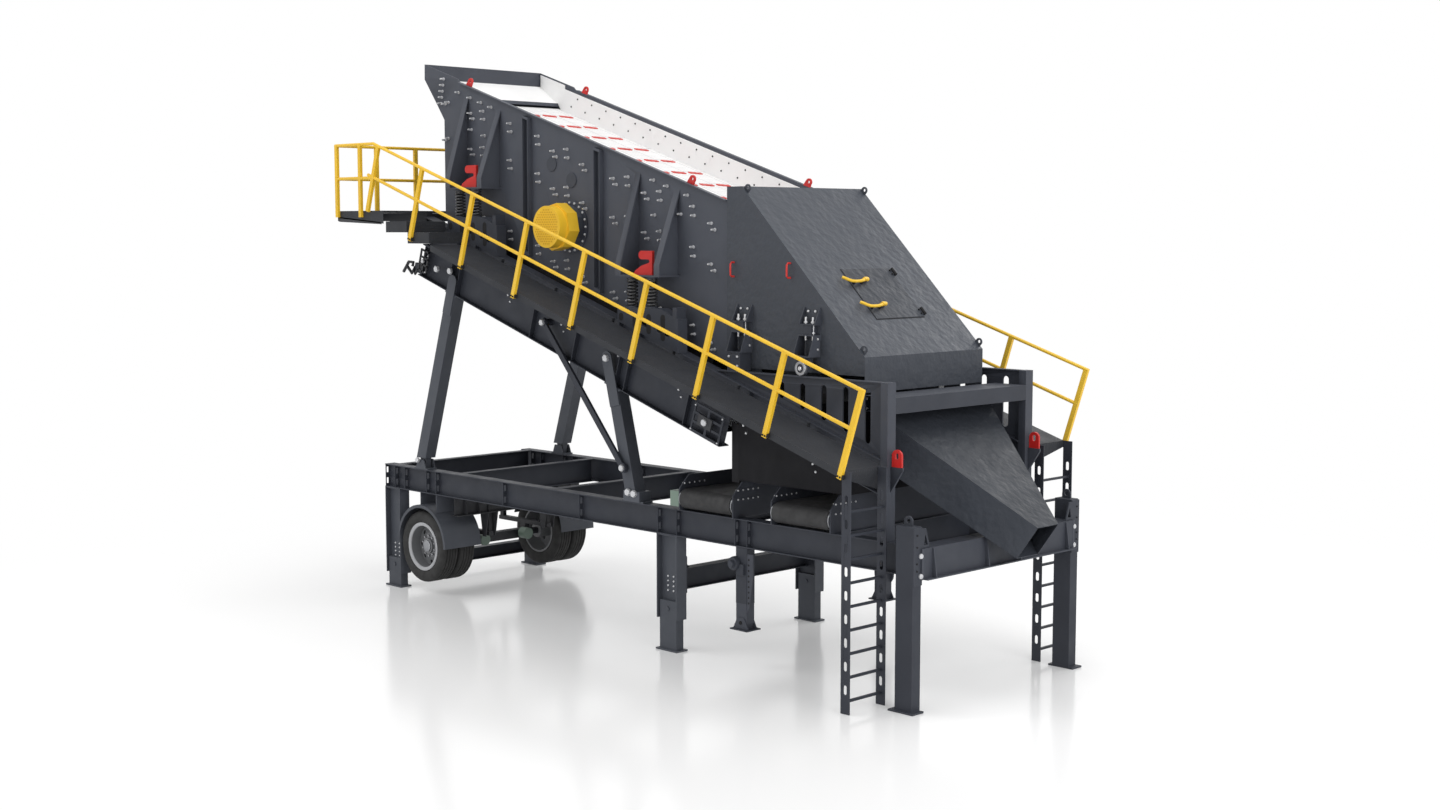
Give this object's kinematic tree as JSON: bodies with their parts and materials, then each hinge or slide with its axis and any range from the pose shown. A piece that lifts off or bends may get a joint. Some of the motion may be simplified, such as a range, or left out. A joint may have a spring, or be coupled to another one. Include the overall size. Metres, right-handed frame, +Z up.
{
  "type": "mobile vibrating screen plant",
  "caption": "Trailer-mounted vibrating screen on a sloping frame, with feed box, spring seats, discharge hood and chute, side walkways with rails, ladders, support legs and road wheels.",
  "frame": {"origin": "middle of the plant's bounding box, at the floor that its feet stand on", "axes": "+X toward the discharge chute, +Z up, -Y the side that the picture shows"},
  "size_m": [10.852, 4.184, 7.555],
  "materials": {
    "frame_paint": "satin graphite paint",
    "box_paint": "satin graphite paint",
    "running_gear": "satin black paint",
    "rim_grey": "grey paint",
    "tyre": "matt",
    "safety_yellow": "gloss paint",
    "lifting_red": "gloss paint",
    "deck_white": "matt polyurethane",
    "spring_black": "satin black",
    "belt_rubber": "matt",
    "drum_steel": "turned steel",
    "gear_green": "pale green paint"
  },
  "bodies": {
    "root": {"chassis_beams": "frame_paint", "chassis_cross_beams": "frame_paint", "front_cross_beam": "frame_paint", "support_legs": "frame_paint", "leg_tie_beams": "frame_paint", "front_columns": "frame_paint", "landing_jacks": "frame_paint", "axle": "running_gear", "suspension": "running_gear", "brake_chambers": "gear_green", "fenders": "running_gear", "slope_girders": "frame_paint", "slope_ties": "frame_paint", "slope_chords": "frame_paint", "rear_props": "frame_paint", "front_props": "frame_paint", "diagonal_struts": "frame_paint", "belt_scraper": "frame_paint", "belts": "belt_rubber", "belt_drums": "drum_steel", "side_plates": "box_paint", "feed_back_plate": "box_paint", "feed_apron": "deck_white", "screen_deck": "deck_white", "side_liners": "deck_white", "deck_tubes": "box_paint", "drive_guards": "safety_yellow", "spring_hooks": "lifting_red", "coil_springs": "spring_black", "spring_pedestals": "box_paint", "lifting_lugs": "lifting_red", "discharge_hood": "box_paint", "hood_hatch": "box_paint", "hatch_handles": "safety_yellow", "hood_handles": "lifting_red", "hood_brackets": "box_paint", "slotted_frames": "frame_paint", "discharge_cross_beam": "frame_paint", "chute_inlet_frame": "box_paint", "chute_roof": "box_paint", "chute_floor": "box_paint", "chute_sides": "box_paint", "conveyor_frames": "frame_paint", "gear_motor": "gear_green", "transfer_hopper": "frame_paint", "walkways": "box_paint", "feed_platform": "box_paint", "steps": "box_paint", "near_handrail": "safety_yellow", "far_handrail": "safety_yellow", "platform_back_rail": "safety_yellow", "ladders": "frame_paint"},
    "near_wheel": {"near_rims": "rim_grey", "near_tyres": "tyre"},
    "far_wheel": {"far_rims": "rim_grey", "far_tyres": "tyre"}
  },
  "joints": [
    {"name": "near_wheel_spin", "type": "hinge", "parent": "root", "child": "near_wheel", "pos_m": [-4.458, -1.058, 0.672], "axis": [0, 1, 0], "continuous": true},
    {"name": "far_wheel_spin", "type": "hinge", "parent": "root", "child": "far_wheel", "pos_m": [-4.458, 1.058, 0.672], "axis": [0, 1, 0], "continuous": true}
  ]
}
